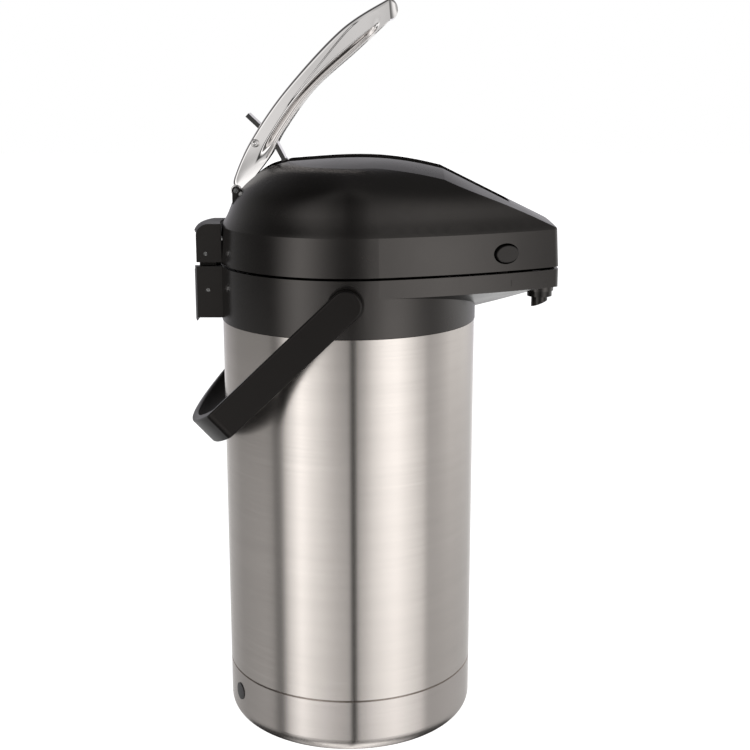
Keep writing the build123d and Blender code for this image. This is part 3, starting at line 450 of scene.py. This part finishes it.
# ---- studio --------------------------------------------------------------------------------
# Brightness of the studio wall round the object. 0 degrees is behind the camera, 90 is +X.
# The low wall lights the steel body, the middle one the lid, and the high one the lever.
LOW_WALL = ((-180, 1.2), (-165, 0.9), (-150, 0.55), (-120, 0.40), (-84, 0.55), (-76, 0.50),
            (-70, 0.20), (-65, 0.20), (-59, 1.0), (-46, 1.68), (-33, 1.26), (-11, 0.92),
            (1, 0.78), (3, 0.03), (6.5, 0.03), (8.5, 0.8), (22, 1.26), (44, 1.62), (57, 1.36),
            (72, 1.1), (79, 0.58), (120, 0.55), (150, 0.6), (180, 1.2))
MIDDLE_WALL = ((-180, 0.9), (-155, 0.5), (-120, 0.2), (-96, 0.12), (-84, 0.08), (-70, 0.08),
               (-58, 0.8), (-42, 1.8), (-30, 1.1), (-20, 0.55), (-8, 0.06), (8, 0.05),
               (15, 0.25), (24, 0.95), (34, 1.65), (46, 1.7), (57, 1.1), (66, 0.55), (74, 0.4),
               (88, 0.6), (105, 1.1), (130, 1.0), (155, 0.6), (180, 0.9))
HIGH_WALL = ((-180, 0.65), (-150, 0.5), (-120, 0.3), (-84, 0.15), (-66, 0.2), (-42, 1.3),
             (-26, 1.25), (-14, 0.66), (-7, 0.74), (-1, 0.2), (8, 0.2), (16, 0.5), (26, 1.1),
             (46, 1.4), (66, 0.7), (90, 0.5), (135, 0.5), (160, 0.55), (180, 0.65))
WALL_PEAK = 1.8
NO_TINT = (1, 1, 1)
BACK_TINT = (0.97, 0.95, 1.0)   # the faint lavender of the walls behind the object
BACK_EDGE = 140                 # degrees past which a wall is behind the object
LOW_SEAM = (-12.6, -11.4)       # heights between which one wall turns into the next, degrees
HIGH_SEAM = (0.5, 3.5)
# Share of that brightness by height above the horizon, in degrees.
HEIGHT = ((-90, 1.3), (-66, 1.2), (-57, 0.08), (-42, 0.05), (-37, 0.76), (-20, 0.92),
          (-13, 1.06), (-11, 1.0), (14, 1.0), (36, 0.5), (60, 0.26), (90, 0.24))
HEIGHT_PEAK = 1.3

FLOOR_HALF = 6.0                # metres
FLOOR_GREY = 0.85
FLOOR_GLOW = 0.95

CAMERA_PLACE = (0.0173, -0.8635, 0.4342)
CAMERA_DIP = 13.05              # degrees below level
CAMERA_LENS = 63.72             # mm, on a 36 mm sensor


def ramp(tree, source, stops, low, high, peak, back_tint=NO_TINT):
    """A curve through stops, pairs of (degrees, brightness), as source goes from low to high."""
    node = add_node(tree, "ShaderNodeValToRGB")
    tree.links.new(spread(tree, source, 0, 1, low, high), node.inputs["Fac"])
    elements = node.color_ramp.elements
    elements[0].position, elements[1].position = 0.0, 1.0
    for place, _ in stops[1:-1]:
        elements.new((place - stops[0][0]) / (stops[-1][0] - stops[0][0]))
    for element, (place, brightness) in zip(elements, stops):
        tint = back_tint if abs(place) > BACK_EDGE else NO_TINT
        element.color = tuple(brightness / peak * c for c in tint) + (1,)
    return node.outputs["Color"]


def studio_light():
    """A wall of softboxes and dark flags round the object, brighter towards the horizon."""
    world = bpy.data.worlds.new("studio")
    bpy.context.scene.world = world
    world.use_nodes = True
    tree = world.node_tree
    background = tree.nodes["Background"]
    place = add_node(tree, "ShaderNodeTexCoord")
    axes = add_node(tree, "ShaderNodeSeparateXYZ")
    tree.links.new(place.outputs["Generated"], axes.inputs["Vector"])
    front = add_node(tree, "ShaderNodeMath", {1: -1.0}, operation="MULTIPLY")
    tree.links.new(axes.outputs["Y"], front.inputs[0])
    azimuth = add_node(tree, "ShaderNodeMath", operation="ARCTAN2")
    tree.links.new(axes.outputs["X"], azimuth.inputs[0])
    tree.links.new(front.outputs[0], azimuth.inputs[1])
    height = add_node(tree, "ShaderNodeMath", operation="ARCSINE")
    tree.links.new(axes.outputs["Z"], height.inputs[0])
    wall = ramp(tree, azimuth.outputs[0], LOW_WALL, -pi, pi, WALL_PEAK)
    for stops, seam in ((MIDDLE_WALL, LOW_SEAM), (HIGH_WALL, HIGH_SEAM)):
        stacked = add_node(tree, "ShaderNodeMix", data_type="RGBA")
        low_edge, high_edge = (radians(edge) for edge in seam)
        tree.links.new(spread(tree, height.outputs[0], 0, 1, low_edge, high_edge),
                       stacked.inputs["Factor"])
        tree.links.new(wall, stacked.inputs[MIX_A])
        tree.links.new(ramp(tree, azimuth.outputs[0], stops, -pi, pi, WALL_PEAK, BACK_TINT),
                       stacked.inputs[MIX_B])
        wall = stacked.outputs[MIX_RESULT]
    up_wall = ramp(tree, height.outputs[0], HEIGHT, -pi / 2, pi / 2, HEIGHT_PEAK)
    both = add_node(tree, "ShaderNodeMix", data_type="RGBA", blend_type="MULTIPLY")
    both.inputs["Factor"].default_value = 1.0
    tree.links.new(wall, both.inputs[MIX_A])
    tree.links.new(up_wall, both.inputs[MIX_B])
    tree.links.new(both.outputs[MIX_RESULT], background.inputs["Color"])
    background.inputs["Strength"].default_value = WALL_PEAK * HEIGHT_PEAK
    # the camera sees plain white where nothing stands
    backdrop = add_node(tree, "ShaderNodeBackground", {"Color": (1, 1, 1, 1), "Strength": 1.0})
    seen = add_node(tree, "ShaderNodeLightPath")
    switch = add_node(tree, "ShaderNodeMixShader")
    tree.links.new(seen.outputs["Is Camera Ray"], switch.inputs[0])
    tree.links.new(background.outputs[0], switch.inputs[1])
    tree.links.new(backdrop.outputs[0], switch.inputs[2])
    tree.links.new(switch.outputs[0], tree.nodes["World Output"].inputs["Surface"])


def floor():
    """Plain pale table top. Its own glow keeps it as pale as the backdrop."""
    half = FLOOR_HALF
    mesh = bpy.data.meshes.new("floor")
    mesh.from_pydata([(-half, -half, 0), (half, -half, 0), (half, half, 0), (-half, half, 0)],
                     [], [(0, 1, 2, 3)])
    table = bpy.data.objects.new("floor", mesh)
    bpy.context.scene.collection.objects.link(table)
    material, _, shader = fresh_material("floor")
    shader.inputs["Base Color"].default_value = (FLOOR_GREY, FLOOR_GREY, FLOOR_GREY, 1)
    shader.inputs["Roughness"].default_value = 0.9
    shader.inputs["Emission Color"].default_value = (1, 1, 1, 1)
    shader.inputs["Emission Strength"].default_value = FLOOR_GLOW
    mesh.materials.append(material)
    table.visible_glossy = False


def camera():
    """Camera at the height of the lid, looking down a little."""
    data = bpy.data.cameras.new("camera")
    data.lens = CAMERA_LENS
    data.sensor_width = 36.0
    view = bpy.data.objects.new("camera", data)
    view.location = CAMERA_PLACE
    view.rotation_euler = (radians(90 - CAMERA_DIP), 0, 0)
    bpy.context.scene.collection.objects.link(view)
    bpy.context.scene.camera = view


studio_light()
floor()
camera()
bpy.context.scene.view_settings.view_transform = "Standard"
